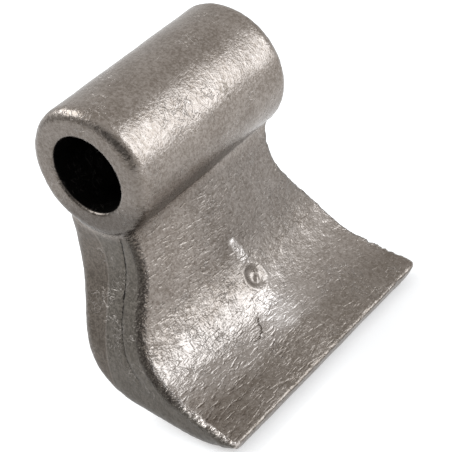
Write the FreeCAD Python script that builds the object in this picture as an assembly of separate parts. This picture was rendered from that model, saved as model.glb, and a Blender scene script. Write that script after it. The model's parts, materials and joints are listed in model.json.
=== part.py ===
"""Shredder hammer: one drop-forged steel flail hammer for a rotor with pivot bolts.

An eye with a bore swings on the pivot bolt, a thick leg hangs from it, and the leg
flares into a blade whose striking face is hollow and ends in a blunt cutting lip.

The Y axis runs along the bore, +X is the way the hammer strikes and +Z is up, with
the origin on the bore's axis halfway along the eye. The plane x = 0 is the parting
plane of the dies, so the leg hangs straight below the eye. All sizes are millimetres.
"""
import FreeCAD, Part
import math
import os

# Eye
BORE_DIAMETER = 20.5
EYE_DIAMETER = 34.2
EYE_LENGTH = 58.0
RIM_ROUNDING = 2.5
RIM_CONES = 3
BORE_BREAK = 0.4

# Leg seen from the side: back, heel, sole and toe. The heel lies HEEL_LIFT higher than the
# cutting edge, and the ball of the sole lies BALL_SET behind it
ROOT_BACK = 11.2
LEG_BACK = 19.7
BACK_BEND = 25.0
BACK_CURVE = 32.0
HEEL_BACK = 13.5
HEEL_LIFT = 4.3
HEEL_ROUNDING = 20.0
SOLE_SLOPE = 15.0
BALL_SET = 11.9
BALL_ROUNDING = 25.0
TOE_REACH = 31.9
TOE_DEPTH = 63.5
TOE_THICKNESS = 3.2
TOE_LEAN = 2.4
TOE_CORNER = 3.4

# Leg seen from the front: its root at the eye, a narrow neck, and a flare to the wings
ROOT_STEP = 0.6
ROOT_END = 15.0
ROOT_CURVE = 8.0
NECK_TOP = 20.5
NECK_STEP = 1.8
NECK_CURVE = 16.0
FLARE_TOP = 28.0
FLARE_ANGLE = 31.0
WING_ANGLE = 5.0
WING_CURVE = 30.0
CUTTING_WIDTH = 81.8

# Taper of the side walls from the striking face to the back
DRAFT_ANGLE = 3.5

# Striking face: its section at the wings, and the crown that stands ahead in the middle
WING_FACE = 5.45
WING_CURL = 22.0
WING_LIP_SLOPE = 23.3
CROWN_TOP = 2.0
CROWN_MIDDLE = 4.0
CROWN_CURL = 26.0
CROWN_LIP_SLOPE = 36.0
CROWN_SOFTNESS = 9.0
CREASE_ROUNDING = 4.0
CURL_STEPS = 4

# Edges
BACK_ROUNDING = 5.0
TOE_ROUNDING = 1.5
FRONT_BEVEL = 1.0

# Die mark: a shallow round dimple on the striking face
MARK_DIAMETER = 5.6
MARK_DEPTH = 0.45
MARK_SIDE = 1.0
MARK_HEIGHT = 46.0

# How far a construction solid runs past what it shapes, how far the crease sinks into
# the eye, and the distance at which two shapes count as touching
SPARE = 6.0
SINK = 0.15
TOUCHING = 0.001

# Share of an outline's side that the arcs at its two ends may take
ARC_ROOM = 0.98


def point(x, y, z):
    return FreeCAD.Vector(x, y, z)


def arc_setbacks(corners):
    """How far from each corner its arc starts; arcs that share a short side shrink to fit."""
    count = len(corners)
    wanted = []
    for i in range(count):
        corner, radius = corners[i]
        half = (corners[i - 1][0] - corner).getAngle(corners[(i + 1) % count][0] - corner) / 2
        wanted.append(radius / math.tan(half))
    fitting = list(wanted)
    for i in range(count):
        following = (i + 1) % count
        side = corners[i][0].distanceToPoint(corners[following][0])
        taken = wanted[i] + wanted[following]
        if taken > side * ARC_ROOM:
            for end in (i, following):
                fitting[end] = min(fitting[end], wanted[end] * side * ARC_ROOM / taken)
    return fitting


def rounded_outline(corners):
    """A closed wire through (corner, radius) pairs, each corner cut by a tangent arc."""
    count = len(corners)
    setbacks = arc_setbacks(corners)
    edges = []
    ends = []
    for i in range(count):
        corner = corners[i][0]
        before = (corners[i - 1][0] - corner).normalize()
        after = (corners[(i + 1) % count][0] - corner).normalize()
        setback = setbacks[i]
        if setback == 0:
            ends.append((corner, corner, None))
            continue
        half = before.getAngle(after) / 2
        radius = setback * math.tan(half)
        bisector = (before + after).normalize()
        middle = corner + bisector * (radius / math.sin(half) - radius)
        start = corner + before * setback
        end = corner + after * setback
        ends.append((start, end, Part.Arc(start, middle, end).toShape()))
    for i in range(count):
        arc = ends[i][2]
        if arc:
            edges.append(arc)
        following = ends[(i + 1) % count][0]
        edges.append(Part.LineSegment(ends[i][1], following).toShape())
    return Part.Wire(edges)


def slope(angle):
    """The rise over the run of a line at an angle in degrees."""
    return math.tan(math.radians(angle))


def taper(x):
    """How much wider the side walls stand at x than at the striking face of the wings."""
    return (x - WING_FACE) * slope(DRAFT_ANGLE)


def neck():
    """Half the width of the neck, where the leg is narrowest."""
    return EYE_LENGTH / 2 - NECK_STEP


def wing_bend():
    """Depth at which the flare meets the straighter wing, before the corner is rounded."""
    toe = CUTTING_WIDTH / 2 - taper(TOE_REACH)
    wing_at_flare_top = toe - (TOE_DEPTH - FLARE_TOP) * slope(WING_ANGLE)
    opening = slope(FLARE_ANGLE) - slope(WING_ANGLE)
    return FLARE_TOP + (wing_at_flare_top - neck()) / opening


def half_width(x, depth):
    """Half the width of the leg at x and a depth below the bore, before it is rounded."""
    along_flare = max(0, min(depth, wing_bend()) - FLARE_TOP)
    along_wing = max(0, depth - wing_bend())
    spread = along_flare * slope(FLARE_ANGLE) + along_wing * slope(WING_ANGLE)
    return neck() + spread + taper(x)


def flare_outline(x):
    """The front view of the leg as a wire at x: root, neck, flare and wings."""
    bottom = TOE_DEPTH + TOE_THICKNESS + SPARE
    root = EYE_LENGTH / 2 - ROOT_STEP + taper(x)
    right = [
        (0.0, root, 0),
        (ROOT_END, root, ROOT_CURVE),
        (NECK_TOP, half_width(x, NECK_TOP), ROOT_CURVE),
        (FLARE_TOP, half_width(x, FLARE_TOP), NECK_CURVE),
        (wing_bend(), half_width(x, wing_bend()), WING_CURVE),
        (bottom, half_width(x, bottom), 0),
    ]
    corners = [(point(x, width, -depth), radius) for depth, width, radius in right]
    corners += [(point(x, -width, -depth), radius) for depth, width, radius in reversed(right)]
    return rounded_outline(corners)


def side_outline(y):
    """The side view of the leg as a wire at y, with its front left to the striking face."""
    heel_depth = TOE_DEPTH - HEEL_LIFT
    ball_x = TOE_REACH - BALL_SET
    ball_depth = heel_depth + (HEEL_BACK + ball_x) * slope(SOLE_SLOPE)
    inside = EYE_DIAMETER / 2 - RIM_ROUNDING - SPARE / 2
    roof = math.sqrt((EYE_DIAMETER / 2 - SINK) ** 2 - inside ** 2)
    sole_end = TOE_REACH - TOE_LEAN
    front = TOE_REACH + TOE_LEAN
    return rounded_outline([
        (point(-ROOT_BACK, y, -SPARE / 2), 0),
        (point(-LEG_BACK, y, -BACK_BEND), BACK_CURVE),
        (point(-HEEL_BACK, y, -heel_depth), HEEL_ROUNDING),
        (point(ball_x, y, -ball_depth), BALL_ROUNDING),
        (point(sole_end, y, -TOE_DEPTH - TOE_THICKNESS), 0),
        (point(front, y, -TOE_DEPTH + TOE_THICKNESS), 0),
        (point(front, y, -roof), 0),
        (point(inside, y, -roof), 0),
        (point(inside, y, -SPARE / 2), 0),
    ])


def plan_outline():
    """The top view of the leg as a wire, which rounds the two corners of the cutting edge."""
    wide = CUTTING_WIDTH / 2
    back = -LEG_BACK - SPARE
    beside = wide + (TOE_CORNER - SPARE) * slope(DRAFT_ANGLE)
    return rounded_outline([
        (point(back, -wide - SPARE, 0), 0),
        (point(TOE_REACH - SPARE, -wide - SPARE, 0), 0),
        (point(TOE_REACH - SPARE, -beside, 0), 0),
        (point(TOE_REACH, -wide, 0), TOE_CORNER),
        (point(TOE_REACH, wide, 0), TOE_CORNER),
        (point(TOE_REACH - SPARE, beside, 0), 0),
        (point(TOE_REACH - SPARE, wide + SPARE, 0), 0),
        (point(back, wide + SPARE, 0), 0),
    ])


def face_section(face_top, face, curl, lip_slope):
    """Control points (x, z) of one section of the striking face, from the eye to the lip.

    The section is a crease tangent to the eye, a run down the leg, an arc that curls
    forward and a straight lip through the cutting edge.
    """
    to_eye = EYE_DIAMETER / 2 - SINK
    to_crease = to_eye + CREASE_ROUNDING
    crease_x = face_top + CREASE_ROUNDING
    crease_z = -math.sqrt(to_crease ** 2 - crease_x ** 2)
    touch_x = crease_x * to_eye / to_crease
    touch_z = crease_z * to_eye / to_crease
    corner_z = touch_z + (touch_x - face_top) * crease_x / crease_z
    beyond_x = 2 * touch_x - face_top
    beyond_z = 2 * touch_z - corner_z
    section = [(beyond_x, beyond_z + SPARE), (beyond_x, beyond_z), (face_top, corner_z)]

    turn = math.radians(90 - lip_slope)
    knee_z = -TOE_DEPTH + (TOE_REACH - face) * slope(lip_slope)
    start_z = knee_z + curl * math.tan(turn / 2)
    step = turn / CURL_STEPS
    centre_x = face + curl
    section.append((face, start_z + curl * math.tan(step / 2)))
    outer = curl / math.cos(step / 2)
    for i in range(CURL_STEPS):
        angle = (i + 0.5) * step
        section.append((centre_x - outer * math.cos(angle), start_z - outer * math.sin(angle)))
    past = TOE_REACH + SPARE
    section.append((TOE_REACH, -TOE_DEPTH))
    section.append((past, -TOE_DEPTH - SPARE * slope(lip_slope)))
    return section


def striking_surface():
    """The striking face: straight rulings that run from a soft crown out to both wings."""
    wing = face_section(WING_FACE, WING_FACE, WING_CURL, WING_LIP_SLOPE)
    crown = face_section(
        WING_FACE + CROWN_TOP, WING_FACE + CROWN_MIDDLE, CROWN_CURL, CROWN_LIP_SLOPE
    )
    rows = []
    for (wing_x, wing_z), (crown_x, crown_z) in zip(wing, crown):
        width = half_width(wing_x, -wing_z)
        past = (width + SPARE) / width
        soft = CROWN_SOFTNESS / width
        row = []
        for share in (-past, -soft, 0.0, soft, past):
            x = crown_x + (wing_x - crown_x) * abs(share)
            z = crown_z + (wing_z - crown_z) * abs(share)
            row.append(point(x, width * share, z))
        rows.append(row)
    surface = Part.BSplineSurface()
    surface.buildFromPolesMultsKnots(
        rows,
        clamped_multiplicities(len(rows)),
        clamped_multiplicities(len(rows[0])),
        list(range(len(rows) - 1)),
        list(range(len(rows[0]) - 1)),
        False,
        False,
        2,
        2,
    )
    return surface


def clamped_multiplicities(poles):
    """Knot multiplicities of a clamped curve of degree 2 with this many poles."""
    return [3] + [1] * (poles - 3) + [3]


def middle(edge):
    """The point halfway along an edge."""
    return edge.valueAt((edge.FirstParameter + edge.LastParameter) / 2)


def toe_edge(shape, guide):
    """The foremost outer edge of a half leg that lies on a guide shape.

    The edges behind it run on tangent to it, so a rounding that starts here follows them.
    """
    row = []
    for edge in shape.Edges:
        if edge.BoundBox.YMin > SPARE:
            if guide.distToShape(Part.Vertex(middle(edge)))[0] < TOUCHING:
                row.append(edge)
    return [max(row, key=lambda edge: middle(edge).x)]


def make_blank():
    """Half of the leg before its striking face is formed, and the wall of its back and sole."""
    wide = CUTTING_WIDTH / 2 + SPARE
    side = Part.Face(side_outline(0)).extrude(point(0, wide, 0))
    lengthwise = [face for face in side.Faces if abs(face.CenterOfMass.y - wide / 2) < TOUCHING]
    behind = [face for face in lengthwise if face.CenterOfMass.x < TOE_REACH - TOE_LEAN]
    walls = [flare_outline(-LEG_BACK - SPARE), flare_outline(TOE_REACH + SPARE)]
    return side.common(Part.makeLoft(walls, True, True)), Part.makeCompound(behind)


def make_leg():
    """The leg: one half is formed and its edges rounded, and the other half mirrors it."""
    blank, behind = make_blank()
    face = striking_surface().toShape()
    half = blank.cut(face.extrude(point(TOE_REACH + 2 * SPARE, 0, 0)))
    half = half.makeFillet(BACK_ROUNDING, TOE_ROUNDING, toe_edge(half, behind))
    half = half.makeChamfer(FRONT_BEVEL, toe_edge(half, face))
    plan = Part.Face(plan_outline()).extrude(point(0, 0, -TOE_DEPTH - 2 * SPARE))
    half = half.common(plan)
    return half.fuse(half.mirror(point(0, 0, 0), point(0, 1, 0))).removeSplitter()


def make_eye():
    """The eye before it is bored, with each rim rounded off in a few narrow cones."""
    centre = point(EYE_DIAMETER / 2 - RIM_ROUNDING, EYE_LENGTH / 2 - RIM_ROUNDING, 0)
    rim = []
    for i in range(RIM_CONES + 1):
        angle = math.radians(90 * i / RIM_CONES)
        rim.append(centre + point(math.sin(angle), math.cos(angle), 0) * RIM_ROUNDING)
    far_rim = [point(at.x, -at.y, 0) for at in reversed(rim)]
    ends = [point(0, -EYE_LENGTH / 2, 0), point(0, EYE_LENGTH / 2, 0)]
    profile = Part.Face(Part.makePolygon(rim + far_rim + ends + rim[:1]))
    return profile.revolve(point(0, 0, 0), point(0, 1, 0), 360)


def make_bore():
    """The hole for the pivot bolt, with a small cone at each mouth that breaks its edge."""
    radius = BORE_DIAMETER / 2
    half = EYE_LENGTH / 2
    bore = Part.makeCylinder(radius, EYE_LENGTH, point(0, -half, 0), point(0, 1, 0))
    for side in (-1, 1):
        mouth = point(0, side * half, 0)
        inward = point(0, -side, 0)
        bore = bore.fuse(Part.makeCone(radius + BORE_BREAK, radius, BORE_BREAK, mouth, inward))
    return bore


def make_mark():
    """The ball that presses the die mark into the striking face."""
    surface = striking_surface()
    probe = point(WING_FACE + CROWN_MIDDLE, MARK_SIDE, -MARK_HEIGHT)
    u, v = surface.parameter(probe)
    outward = surface.normal(u, v)
    if outward.x < 0:
        outward = outward * -1
    half = MARK_DIAMETER / 2
    ball = (half ** 2 + MARK_DEPTH ** 2) / (2 * MARK_DEPTH)
    return Part.makeSphere(ball, surface.value(u, v) + outward * (ball - MARK_DEPTH))


def make_hammer():
    """The whole forging as one solid."""
    forging = make_leg().fuse(make_eye()).removeSplitter()
    return forging.cut(make_bore()).cut(make_mark())


if __name__ == "__main__":
    os.makedirs("parts", exist_ok=True)
    hammer = make_hammer()
    if len(hammer.Solids) != 1 or not hammer.isValid():
        raise SystemExit("the hammer is not one valid solid")
    hammer = hammer.Solids[0]
    hammer.exportStep("parts/hammer.step")
    centre = hammer.CenterOfMass
    print("volume", round(hammer.Volume), "mm3")
    print("centre of mass", round(centre.x, 2), round(centre.y, 2), round(centre.z, 2))
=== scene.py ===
# %% [markdown]
# # A forged shredder hammer
#
# A flail shredder carries a row of these hammers on its rotor. Each one is a single
# steel forging of about a kilogram: an eye with a hole for the pivot bolt, a thick leg,
# and a wide striking face that curls forward into a blunt cutting lip.
#
# The forging's true sizes come from the CAD frame, which is loaded first. This script
# adds what a forging gets in the shop: the uneven skin that hot steel takes from the
# dies, the band that the trimming press leaves on both sides, and bare blasted metal.
#
# Everything is in metres, in the CAD's own frame: Y runs along the hole, X is the way
# the hammer strikes and Z is up.

# %% Load the frame
import bmesh
import bpy
import json
import math
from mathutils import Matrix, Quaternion, Vector, noise
from mathutils.bvhtree import BVHTree
from mathutils.geometry import intersect_point_line


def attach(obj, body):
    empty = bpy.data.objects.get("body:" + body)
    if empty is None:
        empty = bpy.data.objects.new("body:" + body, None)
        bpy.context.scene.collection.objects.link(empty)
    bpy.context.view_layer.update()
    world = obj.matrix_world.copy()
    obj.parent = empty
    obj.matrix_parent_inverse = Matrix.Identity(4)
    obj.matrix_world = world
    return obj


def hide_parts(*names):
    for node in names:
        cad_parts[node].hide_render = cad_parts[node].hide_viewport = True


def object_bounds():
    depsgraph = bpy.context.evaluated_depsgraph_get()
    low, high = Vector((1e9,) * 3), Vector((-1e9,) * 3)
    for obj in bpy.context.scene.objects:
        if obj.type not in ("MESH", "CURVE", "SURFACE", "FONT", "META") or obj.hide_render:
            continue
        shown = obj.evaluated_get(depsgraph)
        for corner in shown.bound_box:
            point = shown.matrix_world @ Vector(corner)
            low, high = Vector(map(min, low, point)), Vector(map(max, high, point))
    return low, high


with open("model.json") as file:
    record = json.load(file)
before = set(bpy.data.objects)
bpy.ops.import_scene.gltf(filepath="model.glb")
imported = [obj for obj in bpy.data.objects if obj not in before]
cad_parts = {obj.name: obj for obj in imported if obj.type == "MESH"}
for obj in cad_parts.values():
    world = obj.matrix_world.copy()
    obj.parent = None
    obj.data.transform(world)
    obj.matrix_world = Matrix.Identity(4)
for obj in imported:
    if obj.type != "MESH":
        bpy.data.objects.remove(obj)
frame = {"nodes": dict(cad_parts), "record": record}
cad_low, cad_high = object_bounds()
print("CAD box in mm:", [round(1000 * (b - a), 1) for a, b in zip(cad_low, cad_high)])

# %% [markdown]
# ## Sizes that the finish needs
#
# The finish is written in millimetres, because that is how a forging is measured. The
# hole's radius and the eye's length are read from the record's mounts and the eye's
# radius from the CAD box, so they follow the model if it changes.

# %% Read the sizes of the eye
MM = 0.001
mounts = frame["record"]["mounts"]
bore = next(m for m in mounts if m["name"] == "pivot_bore")
BORE_RADIUS = bore["dims"]["r_mm"]
EYE_RADIUS = cad_high.z / MM
EYE_END = max(m["pos_m"][1] for m in mounts) / MM
RIM = 3.0
NECK_TOP = -EYE_RADIUS * 0.8
print("hole radius", BORE_RADIUS, "eye radius", round(EYE_RADIUS, 2), "half length", EYE_END)

# %% [markdown]
# ## The camera
#
# The photograph was taken from the front left and a little above, with a long lens, so
# the hammer's parallel edges stay nearly parallel. The camera also leans, because the
# hammer was laid down for its picture. A camera is easiest to place as a person would
# say it: what it looks at, from which side, how high, how far off, and how it leans.

# %% Set up the camera
LOOK_AT = Vector((9.6, -0.35, -30.1)) * MM
AZIMUTH = math.radians(46.565)
ELEVATION = math.radians(27.229)
LEAN = math.radians(17.975)
DISTANCE = 413.47 * MM
LENS = 133.62
SENSOR = 36.0

away = Vector((
    math.sin(AZIMUTH) * math.cos(ELEVATION),
    -math.cos(AZIMUTH) * math.cos(ELEVATION),
    math.sin(ELEVATION),
))
lens = bpy.data.cameras.new("camera")
lens.lens = LENS
lens.sensor_width = SENSOR
lens.clip_start = 0.01
lens.clip_end = 20
camera = bpy.data.objects.new("camera", lens)
bpy.context.scene.collection.objects.link(camera)
camera.location = LOOK_AT + away * DISTANCE
camera.rotation_mode = "QUATERNION"
camera.rotation_quaternion = away.to_track_quat("Z", "Y") @ Quaternion((0, 0, 1), -LEAN)
bpy.context.scene.camera = camera
print("camera at", [round(v, 4) for v in camera.location])

# %% [markdown]
# ## An even skin over the CAD shape
#
# A CAD mesh has long thin triangles that only describe its outline. Dents and rough
# grain need many small, even faces. A voxel remesh lays such a skin over a closed shape:
# it fills the shape with little cubes and wraps their surface. The CAD's triangles are
# loose at their corners, so a copy of them is merged first.

# %% Remesh a copy of the CAD node
CELL = 0.56
MERGE = 0.001

loose = bmesh.new()
loose.from_mesh(frame["nodes"]["hammer"].data)
bmesh.ops.remove_doubles(loose, verts=loose.verts, dist=MERGE * MM)
blank_mesh = bpy.data.meshes.new("blank")
loose.to_mesh(blank_mesh)
blank = bpy.data.objects.new("blank", blank_mesh)
bpy.context.scene.collection.objects.link(blank)
wrap = blank.modifiers.new("wrap", "REMESH")
wrap.mode = "VOXEL"
wrap.voxel_size = CELL * MM
bpy.context.view_layer.update()
evaluated = blank.evaluated_get(bpy.context.evaluated_depsgraph_get())
skin_mesh = bpy.data.meshes.new_from_object(evaluated)
bpy.data.objects.remove(blank)
print("skin:", len(skin_mesh.vertices), "corners,", len(skin_mesh.polygons), "faces")

# %% [markdown]
# ## Back onto the true surface
#
# The cubes leave faint steps. A few rounds of smoothing even the faces out, but they
# also melt the small bevels and the pressed mark. So every corner is then put back on
# the nearest point of the CAD's surface. Those right at a sharp bevel go back only part
# of the way, and so keep the soft edge that a hammer gets from blasting.
#
# The front bevels are found by the way their faces point: neither straight to the side
# nor straight ahead. They are also kept as a separate surface, because much of the wear
# is measured from them.

# %% Find the front bevels and smooth the skin
SMOOTHING = 5
EDGE_SOFTNESS = 0.45


def on_front_bevel(face):
    """Whether a CAD face belongs to the bevel between a side wall and the striking face."""
    centre = face.calc_center_median()
    outside_eye = math.hypot(centre.x, centre.z) > (EYE_RADIUS + 0.3) * MM
    slanted = 0.35 < abs(face.normal.y) < 0.93 and face.normal.x > 0.15
    return outside_eye and slanted and centre.z < NECK_TOP * MM and centre.x > 0


loose.faces.ensure_lookup_table()
bevel_faces = [[v.index for v in f.verts] for f in loose.faces if on_front_bevel(f)]
places = [v.co.copy() for v in loose.verts]
front_bevel = BVHTree.FromPolygons(places, bevel_faces)
true_surface = BVHTree.FromBMesh(loose)
loose.free()
print("faces on the front bevels:", len(bevel_faces))

skin = bmesh.new()
skin.from_mesh(skin_mesh)
for _ in range(SMOOTHING):
    bmesh.ops.smooth_vert(
        skin, verts=skin.verts, factor=0.5, use_axis_x=True, use_axis_y=True, use_axis_z=True
    )

# %% [markdown]
# The mark that the die presses into the striking face is only a few millimetres wide,
# so the skin gets faces half as long around it before it is fitted.

# %% Finer faces at the mark
MARK = Vector((11.7, 1.0, -46.0))
MARK_ZONE = 8.5

near_mark = {v for v in skin.verts if (v.co / MM - MARK).length < MARK_ZONE}
near_mark_edges = [e for e in skin.edges if near_mark.intersection(e.verts)]
bmesh.ops.subdivide_edges(skin, edges=near_mark_edges, cuts=1, use_grid_fill=True)
print("corners with finer faces:", len(skin.verts))

# %% Fit the skin to the CAD and round the eye's rims
for corner in skin.verts:
    true_place = true_surface.find_nearest(corner.co)[0]
    edge_gap = front_bevel.find_nearest(corner.co)[3] / MM
    keep = 0.6 * max(0.0, 1.0 - edge_gap / EDGE_SOFTNESS)
    corner.co = true_place.lerp(corner.co, keep)
    x, y, z = corner.co / MM
    radius = math.hypot(x, z)
    out = radius - (EYE_RADIUS - RIM)
    along = abs(y) - (EYE_END - RIM)
    if out > 0 and along > 0 and z > NECK_TOP:
        pull = RIM / math.hypot(out, along)
        to_radius = EYE_RADIUS - RIM + out * pull
        to_end = math.copysign(EYE_END - RIM + along * pull, y)
        corner.co = Vector((x * to_radius / radius, to_end, z * to_radius / radius)) * MM
skin.normal_update()
print("corners fitted:", len(skin.verts))

# %% [markdown]
# ## Measure the skin before it is roughened
#
# The finish differs from place to place: the striking face has flowed against the die
# and is covered in short wrinkles, the side walls were sheared by the trimming press,
# and the bevel between them is torn and dark. Each of these needs to know where it is.
# So every corner gets a few numbers, all in millimetres or from 0 to 1:
#
# - `face` is 1 on the striking face and its lip, and `wall` is 1 on the side walls;
# - `edge` is the distance from the front bevel;
# - `parting` is the distance from the hairline where the two dies met, less than 0
#   behind it, so that it passes through 0 at the line however far apart the corners are;
# - `fleck` and `crack` are distances from two small faults on the striking face.

# %% Measure
FAR = 9.0
PARTING_LINE = [
    (2.2, -17.9), (0.8, -21.5), (0.1, -25.1), (-0.5, -28.6), (-1.0, -32.2), (-1.0, -35.3),
    (-1.2, -38.4), (-0.8, -41.6), (-0.1, -44.9), (0.7, -47.6), (1.9, -49.9), (3.6, -52.5),
]
FLECK_LINE = [(9.2, 0.2, -35.6), (9.5, 1.1, -38.1), (10.1, 2.0, -40.8)]
CRACK_LINE = [
    (16.4, -6.4, -52.5), (17.4, -7.3, -53.5), (18.6, -8.5, -54.5), (19.1, -10.3, -55.1),
    (18.9, -12.3, -55.2),
]


def way_to(place, path):
    """How far a place is from a path of straight runs, or FAR if it is further."""
    best = FAR
    for start, end in zip(path, path[1:]):
        nearest, share = intersect_point_line(place, start, end)
        if share < 0:
            nearest = start
        elif share > 1:
            nearest = end
        best = min(best, (place - nearest).length)
    return best


def path_x(z, path):
    """Where a path that runs downwards crosses a height, or where its nearer end is."""
    for start, end in zip(path, path[1:]):
        if z > end.z:
            break
    share = min(1.0, max(0.0, (z - start.z) / (end.z - start.z)))
    return start.x + (end.x - start.x) * share


def smooth_step(value, low, high):
    """From 0 where a value is at `low` to 1 where it is at `high`, without a corner."""
    share = min(1.0, max(0.0, (value - low) / (high - low)))
    return share * share * (3 - 2 * share)


parting_path = [Vector((x, 0, z)) for x, z in PARTING_LINE]
fleck_path = [Vector(p) for p in FLECK_LINE]
crack_path = [Vector(p) for p in CRACK_LINE]
measures = {name: [] for name in ("face", "wall", "edge", "parting", "fleck", "crack")}
for corner in skin.verts:
    place = corner.co / MM
    normal = corner.normal
    radius = math.hypot(place.x, place.z)
    below_eye = smooth_step(radius, EYE_RADIUS + 0.2, EYE_RADIUS + 2.5)
    ahead = smooth_step(normal.x, 0.1, 0.35) * smooth_step(normal.z, -0.3, 0.0)
    ahead *= 1 - smooth_step(abs(normal.y), 0.3, 0.6)
    wall = smooth_step(abs(normal.y), 0.55, 0.8) * below_eye
    in_front = place.x > 5 and abs(place.y) < 20
    measures["face"].append(ahead * below_eye)
    measures["wall"].append(wall)
    measures["edge"].append(min(FAR, front_bevel.find_nearest(corner.co)[3] / MM))
    flat = Vector((place.x, 0, place.z))
    ahead_of_line = place.x - path_x(place.z, parting_path)
    measures["parting"].append(math.copysign(way_to(flat, parting_path), ahead_of_line))
    measures["fleck"].append(way_to(place, fleck_path) if in_front else FAR)
    measures["crack"].append(way_to(place, crack_path) if in_front else FAR)
print("share on the striking face:", round(sum(measures["face"]) / len(skin.verts), 3))

# %% [markdown]
# ## The forged skin
#
# Hot steel never fills a die exactly. Its skin is left a little wavy, with shallow pits
# where scale was pressed in, and the striking face is wrinkled because the metal slid
# along it. Each corner is pushed along its normal by the sum of these, in millimetres.
# Perlin noise gives the waves, and folding it at zero turns soft hills into creases.

# %% How deep the skin moves at one place
TRIM_LINE = -6.5
TRIM_DEPTH = 0.15
HAIRLINE_DEPTH = 0.25
FLECK_HEIGHT = 0.25


def folded(place, size):
    """Noise with sharp valleys, between 0 in a valley and about 1 on a hill."""
    return min(1.0, abs(noise.noise(place / size)) * 2.5)


def waves(place):
    """The long and the short waves of the whole skin."""
    return 0.10 * noise.noise(place / 8.0) + 0.05 * noise.noise(place / 3.1 + Vector((7, 3, 1)))


def wrinkles(place):
    """Folds of the striking face, longer across the face than down it."""
    stretched = Vector((place.x, place.y * 0.5, place.z))
    warped = stretched + 0.8 * noise.noise_vector(place / 4.0)
    return 0.07 * noise.noise(warped / 2.8) + 0.05 * (folded(warped, 1.6) - 0.5)


def pressed_mark(place):
    """The bowl of the mark, the rim raised round it and the ridge left inside it."""
    out = place - MARK - Vector((0, 0.8, -0.2))
    gap = out.length
    raised = 0.12 * math.exp(-(((gap - 3.7) / 0.5) ** 2))
    sunk = 0.6 * (1 - smooth_step(gap, 1.0, 3.4))
    along_ridge, across_ridge = out.y * 0.8 + out.z * 0.6, out.y * 0.6 - out.z * 0.8 - 0.5
    ridge = math.exp(-((across_ridge / 0.55) ** 2) - (along_ridge / 1.2) ** 2)
    return raised - sunk + 0.6 * ridge


# %% [markdown]
# ## Blunt corners on the lip
#
# The CAD's rounding of the sole ends a little behind the lip, which leaves both corners of
# the lip pointed. A forging can't have such points, so the sole's rounding is carried on
# to the front here, and then each corner is rounded from the front to the side.

# %% How blunt the lip's corners are
LIP_FRONT, LIP_SIDE, SOLE = cad_high.x / MM - 0.4, cad_high.y / MM - 0.1, cad_low.z / MM
LIP_BACK, LIP_TOP = 20.0, -55.0
SOLE_RISES_FROM, SOLE_SLOPE = 23.3, 0.155
FRONT_LEANS_FROM, FRONT_LEAN = -64.0, 0.75
BACK_ROUNDING, BLUNT = 5.0, 3.0


def pulled_in(a, b, size):
    """Two distances past the start of a rounding, shortened until they lie on it."""
    share = min(1.0, size / math.hypot(a, b)) if a > 0 and b > 0 else 1.0
    return a * share, b * share


def blunted(x, y, z):
    """A place on the lip, rounded towards the sole first and then from front to side."""
    if x < LIP_BACK or z > LIP_TOP:
        return Vector((x, y, z))
    sole = SOLE + SOLE_SLOPE * max(0.0, x - SOLE_RISES_FROM)
    start = LIP_SIDE - BACK_ROUNDING
    aside, under = pulled_in(abs(y) - start, sole + BACK_ROUNDING - z, BACK_ROUNDING)
    y, z = math.copysign(start + aside, y), sole + BACK_ROUNDING - under
    front = LIP_FRONT - FRONT_LEAN * max(0.0, FRONT_LEANS_FROM - z)
    start = LIP_SIDE - BLUNT
    ahead, aside = pulled_in(x - (front - BLUNT), abs(y) - start, BLUNT)
    return Vector((front - BLUNT + ahead, math.copysign(start + aside, y), z))


# %% Roughen the skin
corners = list(skin.verts)
pushes = []
for i, corner in enumerate(corners):
    place = corner.co / MM
    radius = math.hypot(place.x, place.z)
    in_bore = radius < BORE_RADIUS + 0.7
    on_end = abs(place.y) > EYE_END - 0.3 and radius < EYE_RADIUS
    if in_bore:
        pushes.append(0.0)
        continue
    face, wall = measures["face"][i], measures["wall"][i]
    push = waves(place) * (0.3 if on_end else 1.0)
    beside_mark = smooth_step((place - MARK).length, 2.5, 4.0)
    push += face * beside_mark * wrinkles(place)
    trimmed = smooth_step(place.x, TRIM_LINE - 0.4, TRIM_LINE + 0.4)
    push -= wall * trimmed * TRIM_DEPTH
    push -= wall * HAIRLINE_DEPTH * math.exp(-((measures["parting"][i] / 0.45) ** 2))
    on_fleck = math.exp(-((measures["fleck"][i] / 1.2) ** 2))
    push += FLECK_HEIGHT * on_fleck * (0.3 + folded(place, 1.1))
    if (place - MARK).length < MARK_ZONE:
        push += pressed_mark(place)
    near_edge = math.exp(-((measures["edge"][i] / 0.8) ** 2))
    toe = smooth_step(-place.z, 56, 58) * smooth_step(radius, EYE_RADIUS, EYE_RADIUS + 4)
    toe *= 1 - smooth_step(place.x, 25, 29)
    ragged = noise.noise(place / 1.5) + 0.6 * noise.noise(place / 0.7)
    push += near_edge * (0.10 + 0.22 * toe) * ragged * 1.7
    at_lip = math.exp(-((math.hypot(place.x - 31.4, place.z + 64.0) / 1.6) ** 2))
    push -= at_lip * 0.55 * max(0.0, noise.noise(place / 2.2) - 0.1)
    at_rim = smooth_step(abs(place.y), EYE_END - RIM - 1.0, EYE_END - RIM)
    at_rim *= smooth_step(radius, EYE_RADIUS - RIM, EYE_RADIUS - 1.0)
    push += at_rim * 0.04 * noise.noise(place / 1.1) * 2
    pushes.append(push)
for corner, push in zip(corners, pushes):
    corner.co += corner.normal * (push * MM)
    corner.co = blunted(*(corner.co / MM)) * MM
print("pushed from", round(min(pushes), 2), "to", round(max(pushes), 2), "mm")

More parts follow.
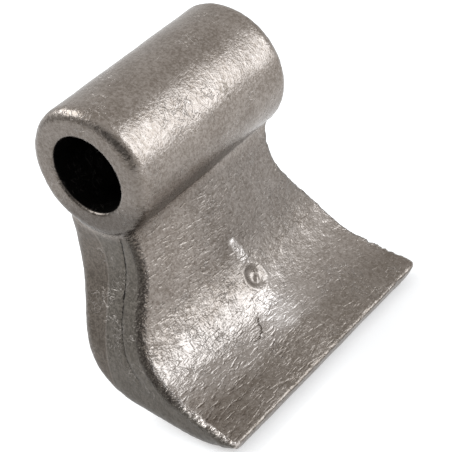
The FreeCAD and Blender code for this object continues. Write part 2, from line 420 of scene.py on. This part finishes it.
# %% Make the piece
skin.to_mesh(skin_mesh)
skin.free()
skin_mesh.name = "forging"
for name, values in measures.items():
    kept = skin_mesh.attributes.new(name, "FLOAT", "POINT")
    kept.data.foreach_set("value", values)
forging = bpy.data.objects.new("forging", skin_mesh)
bpy.context.scene.collection.objects.link(forging)
for face in skin_mesh.polygons:
    face.use_smooth = True
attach(forging, "root")
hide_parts("hammer")
print("forging:", len(skin_mesh.polygons), "faces")

# %% [markdown]
# ## Shader maths in Python
#
# A finish is a sum of many small effects, and as loose nodes it soon becomes a tangle.
# This class wraps one output of a node. Adding or multiplying two of them makes a Math
# node and gives its output back, so the material reads like arithmetic.

# %% A wire that does arithmetic
class Wire:
    """One output of a node. Arithmetic on it adds Math nodes to the same material."""

    def __init__(self, socket):
        self.socket = socket

    def node(self, kind, settings=None, inputs=None, output=0):
        """A new node beside this one: its settings first, then its values and links."""
        tree = self.socket.id_data
        made = tree.nodes.new(kind)
        for name, value in (settings or {}).items():
            setattr(made, name, value)
        for name, value in (inputs or {}).items():
            if isinstance(value, Wire):
                tree.links.new(value.socket, made.inputs[name])
            else:
                made.inputs[name].default_value = value
        return Wire(made.outputs[output]) if made.outputs else None

    def maths(self, operation, *values):
        return self.node("ShaderNodeMath", {"operation": operation}, dict(enumerate(values)))

    def __add__(self, other):
        return self.maths("ADD", self, other)

    def __sub__(self, other):
        return self.maths("SUBTRACT", self, other)

    def __mul__(self, other):
        return self.maths("MULTIPLY", self, other)

    def __rsub__(self, other):
        return self.maths("SUBTRACT", other, self)

    __radd__ = __add__
    __rmul__ = __mul__


# %% Tools for the steel
def noise_at(place, size, detail=2.0, roughness=0.5, twist=0.0):
    """Noise around 0, mostly from -0.2 to 0.2, whose lumps are about `size` mm apart."""
    settings = {"Vector": place, "Scale": 1 / size, "Detail": detail}
    settings.update({"Roughness": roughness, "Distortion": twist})
    return place.node("ShaderNodeTexNoise", None, settings) - 0.5


def fade(value, low, high):
    """From 0 where a value is at `low` to 1 where it is at `high`, without a corner."""
    limits = {"Value": value, "From Min": low, "From Max": high}
    return value.node("ShaderNodeMapRange", {"interpolation_type": "SMOOTHSTEP"}, limits)


def blend(share, first, second):
    """A colour between two others."""
    ends = [c if isinstance(c, Wire) else (*c, 1) for c in (first, second)]
    inputs = {0: share, 6: ends[0], 7: ends[1]}
    return share.node("ShaderNodeMix", {"data_type": "RGBA"}, inputs, output=2)


def stretch(place, across, turn=0.0):
    """The same place with Y squeezed, so that a pattern on it runs long along Y."""
    scale = {"Vector": place, "Rotation": (turn, 0, 0), "Scale": (1, across, 1)}
    return place.node("ShaderNodeMapping", {"vector_type": "POINT"}, scale)


# %% Start the steel
steel = bpy.data.materials.new("forged steel")
steel.use_nodes = True
steel.node_tree.nodes.clear()
start = Wire(steel.node_tree.nodes.new("ShaderNodeTexCoord").outputs["Object"])
place = start.node("ShaderNodeVectorMath", {"operation": "SCALE"}, {0: start, "Scale": 1000.0})


def measured(name):
    """A number that the skin's corners carry."""
    return place.node("ShaderNodeAttribute", {"attribute_name": name}, output="Fac")


def distance_to(spot):
    """How far each place is from one spot, in millimetres."""
    ends = {0: place, 1: spot}
    return place.node("ShaderNodeVectorMath", {"operation": "DISTANCE"}, ends, output="Value")


face, wall, edge = measured("face"), measured("wall"), measured("edge")
parting, fleck, crack = measured("parting"), measured("fleck"), measured("crack")
along_x = place.node("ShaderNodeSeparateXYZ", None, {0: place}, output="X")
along_y = Wire(along_x.socket.node.outputs["Y"])
along_z = Wire(along_x.socket.node.outputs["Z"])

# %% [markdown]
# ## The grain of blasted steel
#
# Shot blasting leaves the whole forging finely dimpled. On top of that the striking face
# has wrinkles a millimetre or so apart and torn little flakes. These are too small for
# the mesh, so they become a height for a Bump node, which tilts the light instead.

# %% Heights in millimetres
fine = noise_at(place, 0.5, detail=1.0)
dimples = noise_at(place, 1.0, detail=2.0)
far_side = fade(along_y, 4.0, 16.0)
level = stretch(place, 0.3)
leaning = stretch(place, 0.3, math.radians(55))
flow_near = noise_at(level, 0.85, detail=1.5, twist=0.7)
flow_far = noise_at(leaning, 0.95, detail=1.5, twist=0.7)
flow = flow_near + (flow_far - flow_near) * far_side
creases = flow.maths("ABSOLUTE", flow)
wrinkled = (0.2 + 0.8 * face) * fade(distance_to(MARK), 2.2, 4.0)
height = 0.045 * fine + 0.05 * dimples
height = height + wrinkled * (0.13 * flow - 0.24 * creases)

# %% Small faults
off_line = parting.maths("ABSOLUTE", parting)
line_top, line_bottom = -PARTING_LINE[0][1], -PARTING_LINE[-1][1]
on_line = fade(0 - along_z, line_top - 0.5, line_top + 0.5) * wall
on_line = on_line * (1 - fade(0 - along_z, line_bottom - 1.0, line_bottom + 0.5))
on_line = on_line * (1 - 0.6 * fade(0 - along_z + 30 * dimples, 32.0, 44.0))
hairline = on_line * (1 - fade(off_line + 0.6 * dimples, 0.04, 0.22))
crack_line = 1 - fade(crack + 0.6 * dimples, 0.08, 0.4)
flake = 1 - fade(fleck + 2.5 * dimples, 0.8, 1.7)
on_toe = fade(0 - along_z, 55.0, 58.0)
torn = 1 - fade(edge, 0.4, 1.4 - 0.9 * fade(along_x, 18.0, 29.0))
outlines = noise_at(place, 4.0, detail=2.5, twist=1.5)
outline = 1 - fade(outlines.maths("ABSOLUTE", outlines), 0.0, 0.02)
outline = outline * fade(noise_at(place, 9.0), 0.0, 0.1) * (1 - torn)
height = height - 0.25 * hairline - 0.2 * crack_line + 0.08 * outline
height = height + flake * (0.08 + 0.5 * dimples) + torn * (0.3 * dimples + 0.15 * fine)
bump = place.node("ShaderNodeBump", None, {"Strength": 1.0, "Distance": MM, "Height": height})

# %% [markdown]
# ## The colour of bare steel
#
# Blasted steel is a warm grey, browner where a film of oxide is left and greener on the
# sheared band. Some of the colour is painted light: the side walls are darker partly from
# that finish and partly as painted shade, the eye's end faces, the upper far part of the
# striking face and the hole are darkened as painted shade, and a line along the band's
# step, a band low on the striking face and a spot below the mark are painted highlights.

# %% Colours
STEEL = (0.278, 0.244, 0.217)
DARK_STEEL = (0.167, 0.140, 0.118)
BAND = (0.105, 0.095, 0.080)
BROWN = (0.100, 0.083, 0.067)
TORN = (0.05, 0.042, 0.036)
BRIGHT = (0.52, 0.475, 0.44)
PAINTED_HIGHLIGHT = (0.42, 0.385, 0.36)
BLACK = (0.02, 0.018, 0.016)
BELOW_MARK = Vector((18.6, -0.2, -53.8))
STAIN = Vector((16.1, 6.7, 4.5))

patches = noise_at(place, 7.0, detail=3.0)
speckle = 0.6 * patches + 0.5 * fine + 1.1 * dimples
colour = blend(fade(speckle, -0.35, 0.35), DARK_STEEL, STEEL)
radius = along_x.maths("SQRT", along_x * along_x + along_z * along_z)
to_end = EYE_END - along_y.maths("ABSOLUTE", along_y)
in_bore = (1 - fade(radius, BORE_RADIUS + 0.2, BORE_RADIUS + 0.6)) * fade(to_end, 0.3, 0.8)
trimmed = wall * fade(along_x, TRIM_LINE - 0.2, TRIM_LINE + 0.2)
# The side walls are darkened partly by their sheared and oxidised finish and partly as painted
# shade.
colour = blend(trimmed * 0.75, colour, BAND)
colour = blend(wall * (1 - trimmed) * 0.75, colour, BROWN)
colour = blend(wall * 0.3 * (1 - fade(fine + dimples, -0.2, 0.2)), colour, BLACK)
colour = blend(outline * 0.35, colour, BRIGHT)
colour = blend(face * fade(along_x, 17.0, 25.0) * 0.4, colour, BROWN)
near_side = 1 - fade(along_y, -30.0, 0.0)
dark = torn * (1 - on_toe) * (0.3 + 0.6 * near_side)
colour = blend(dark * fade(dimples + fine, -0.25, 0.1), colour, TORN)
burr = torn * on_toe * (1 - wall) * (0.3 + 0.7 * near_side) * fade(dimples, -0.2, 0.1)
colour = blend(burr, colour, BRIGHT)
colour = blend(flake, colour, BRIGHT)
# Painted shade: the upper far part of the striking face, and the eye's end faces, darker towards
# their bottom.
shade = face * fade(along_y, -14.0, -2.0) * fade(along_z, -50.0, -40.0)
on_eye = 1 - fade(radius, EYE_RADIUS, EYE_RADIUS + 1.5)
painted_shade_on_ends = on_eye * (1 - fade(to_end, 0.0, 2.5)) * (0.30 + 0.3 * fade(0 - along_z, 5.0, 12.0))
colour = blend(0.26 * shade + painted_shade_on_ends, colour, BLACK)
# Painted highlight: a band low on the striking face and a spot below the mark are lightened
# where the lamp glows.
depth = 8 * patches - along_z
painted_highlight_band = face * fade(depth, 44.0, 50.0) * (1 - fade(depth, 56.0, 59.0))
colour = blend(0.3 * painted_highlight_band * (1 - 0.6 * fade(along_y, 8.0, 16.0)), colour, PAINTED_HIGHLIGHT)
painted_highlight_spot = 1 - fade(distance_to(BELOW_MARK) + 3 * patches, 2.5, 7.5)
colour = blend(0.6 * painted_highlight_spot, colour, PAINTED_HIGHLIGHT)
stain = 1 - fade(distance_to(STAIN) + 6 * dimples, 0.8, 2.4)
colour = blend(0.6 * stain, colour, BROWN)
# Painted highlight: a faint light line along the step where the sheared band starts.
ledge = along_x - TRIM_LINE
painted_ledge_highlight = wall * (1 - fade(ledge.maths("ABSOLUTE", ledge) + dimples, 0.1, 0.45))
colour = blend(0.12 * painted_ledge_highlight, colour, BRIGHT)
# Painted shade: the side walls get darker towards the bottom.
colour = blend(0.22 * wall * fade(0 - along_z, 38.0, 58.0), colour, BLACK)
colour = blend(hairline, colour, BLACK)
colour = blend(crack_line * 0.8, colour, DARK_STEEL)
# Painted shade: the wall of the hole is made nearly black.
colour = blend(in_bore, colour, BLACK)
roughness = 0.30 + 0.25 * fine + 0.14 * wall + 0.1 * in_bore - 0.05 * (burr + flake)

# %% Finish the steel
surface = place.node(
    "ShaderNodeBsdfPrincipled", None,
    {"Base Color": colour, "Metallic": 1.0, "Roughness": roughness, "Normal": bump},
)
place.node("ShaderNodeOutputMaterial", None, {"Surface": surface})
forging.data.materials.clear()
forging.data.materials.append(steel)
print("nodes in the steel:", len(steel.node_tree.nodes))

# %% [markdown]
# ## The studio
#
# Bare metal has hardly a look of its own: it shows what stands around it. In the
# photograph that is a white room, a tall lamp to the right that draws the bright stripe
# on the eye and the glow low on the striking face, a second lamp behind on the left that
# lights the eye's near rim, and darkness on the camera's side.

# %% World and floor
scene = bpy.context.scene
scene.view_settings.view_transform = "Standard"
ROOM_LIGHT = 0.8

world = bpy.data.worlds.new("studio")
world.use_nodes = True
world.node_tree.nodes.clear()
ray = Wire(world.node_tree.nodes.new("ShaderNodeLightPath").outputs["Is Camera Ray"])
glossy = Wire(ray.socket.node.outputs["Is Glossy Ray"])
clear = Wire(ray.socket.node.outputs["Is Transmission Ray"])
white_rays = ray.maths("MINIMUM", ray + glossy + clear, 1.0)
room = ray.node("ShaderNodeBackground", None, {
    "Color": (1, 1, 1, 1), "Strength": ROOM_LIGHT + (1 - ROOM_LIGHT) * white_rays,
})
ray.node("ShaderNodeOutputWorld", None, {"Surface": room})
scene.world = world

FLOOR_SIZE = 6.0
FLOOR_GAP = 0.3 * MM
PAPER_GREY = 0.72
PAPER_GLOW = 0.4
floor_mesh = bmesh.new()
bmesh.ops.create_grid(floor_mesh, x_segments=1, y_segments=1, size=FLOOR_SIZE)
bmesh.ops.translate(floor_mesh, verts=floor_mesh.verts, vec=(0, 0, cad_low.z - FLOOR_GAP))
floor_data = bpy.data.meshes.new("floor")
floor_mesh.to_mesh(floor_data)
floor_mesh.free()
floor = bpy.data.objects.new("floor", floor_data)
scene.collection.objects.link(floor)
paper = bpy.data.materials.new("paper")
paper.use_nodes = True
sheet = paper.node_tree.nodes["Principled BSDF"]
sheet.inputs["Base Color"].default_value = (PAPER_GREY, PAPER_GREY, PAPER_GREY, 1)
sheet.inputs["Roughness"].default_value = 1.0
sheet.inputs["Specular IOR Level"].default_value = 0.0
sheet.inputs["Emission Color"].default_value = (1, 1, 1, 1)
sheet.inputs["Emission Strength"].default_value = PAPER_GLOW
floor_data.materials.append(paper)

# %% [markdown]
# A photographer darkens one side of shiny metal with black cloth. Two cloths do it here:
# a tall dark one behind the camera and a paler one beside it, which the eye's end face
# reflects. Only mirror-like rays see them, so they cast no shadow and hide nothing.

# %% Lamps and black cloths
STUDIO_RADIUS = 1.2


def toward(azimuth, elevation):
    """The direction of two angles in degrees, counted from +X towards +Y and up."""
    a, e = math.radians(azimuth), math.radians(elevation)
    return Vector((math.cos(a) * math.cos(e), math.sin(a) * math.cos(e), math.sin(e)))


def soft_box(name, azimuth, elevation, width, height, brightness, colour):
    """A rectangular lamp that faces the hammer from a side named by two angles."""
    way = toward(azimuth, elevation)
    data = bpy.data.lights.new(name, "AREA")
    data.shape = "RECTANGLE"
    data.size = width
    data.size_y = height
    data.energy = brightness * math.pi * width * height
    data.color = colour
    lamp = bpy.data.objects.new(name, data)
    lamp.location = LOOK_AT + way * STUDIO_RADIUS
    lamp.rotation_mode = "QUATERNION"
    lamp.rotation_quaternion = way.to_track_quat("Z", "Y")
    scene.collection.objects.link(lamp)


def cloth(name, azimuth, elevation, width, height, glow):
    """A dark rectangle that faces the hammer and that only reflections see."""
    way = toward(azimuth, elevation)
    sheet_mesh = bmesh.new()
    bmesh.ops.create_grid(sheet_mesh, x_segments=1, y_segments=1, size=0.5)
    bmesh.ops.scale(sheet_mesh, verts=sheet_mesh.verts, vec=(width, height, 1))
    turn = way.to_track_quat("Z", "Y").to_matrix()
    bmesh.ops.rotate(sheet_mesh, verts=sheet_mesh.verts, cent=(0, 0, 0), matrix=turn)
    centre = LOOK_AT + way * STUDIO_RADIUS
    bmesh.ops.translate(sheet_mesh, verts=sheet_mesh.verts, vec=centre)
    data = bpy.data.meshes.new(name)
    sheet_mesh.to_mesh(data)
    sheet_mesh.free()
    card = bpy.data.objects.new(name, data)
    scene.collection.objects.link(card)
    velvet = bpy.data.materials.new(name)
    velvet.use_nodes = True
    velvet.node_tree.nodes.clear()
    glowing = Wire(velvet.node_tree.nodes.new("ShaderNodeEmission").outputs[0])
    glowing.socket.node.inputs["Strength"].default_value = glow
    glowing.node("ShaderNodeOutputMaterial", None, {"Surface": glowing})
    data.materials.append(velvet)
    card.visible_camera = False
    card.visible_diffuse = False
    card.visible_shadow = False
    card.visible_transmission = False
    print(name, "in place")


soft_box("strip", 33, 21, width=0.5, height=1.0, brightness=5.0, colour=(0.92, 1.0, 1.09))
soft_box("back strip", -155, 46, width=0.8, height=0.6, brightness=7.0, colour=(0.95, 1.0, 1.05))
cloth("tall cloth", -60, 15, width=1.9, height=1.6, glow=0.22)
cloth("side cloth", -135, 10, width=1.6, height=1.0, glow=0.75)
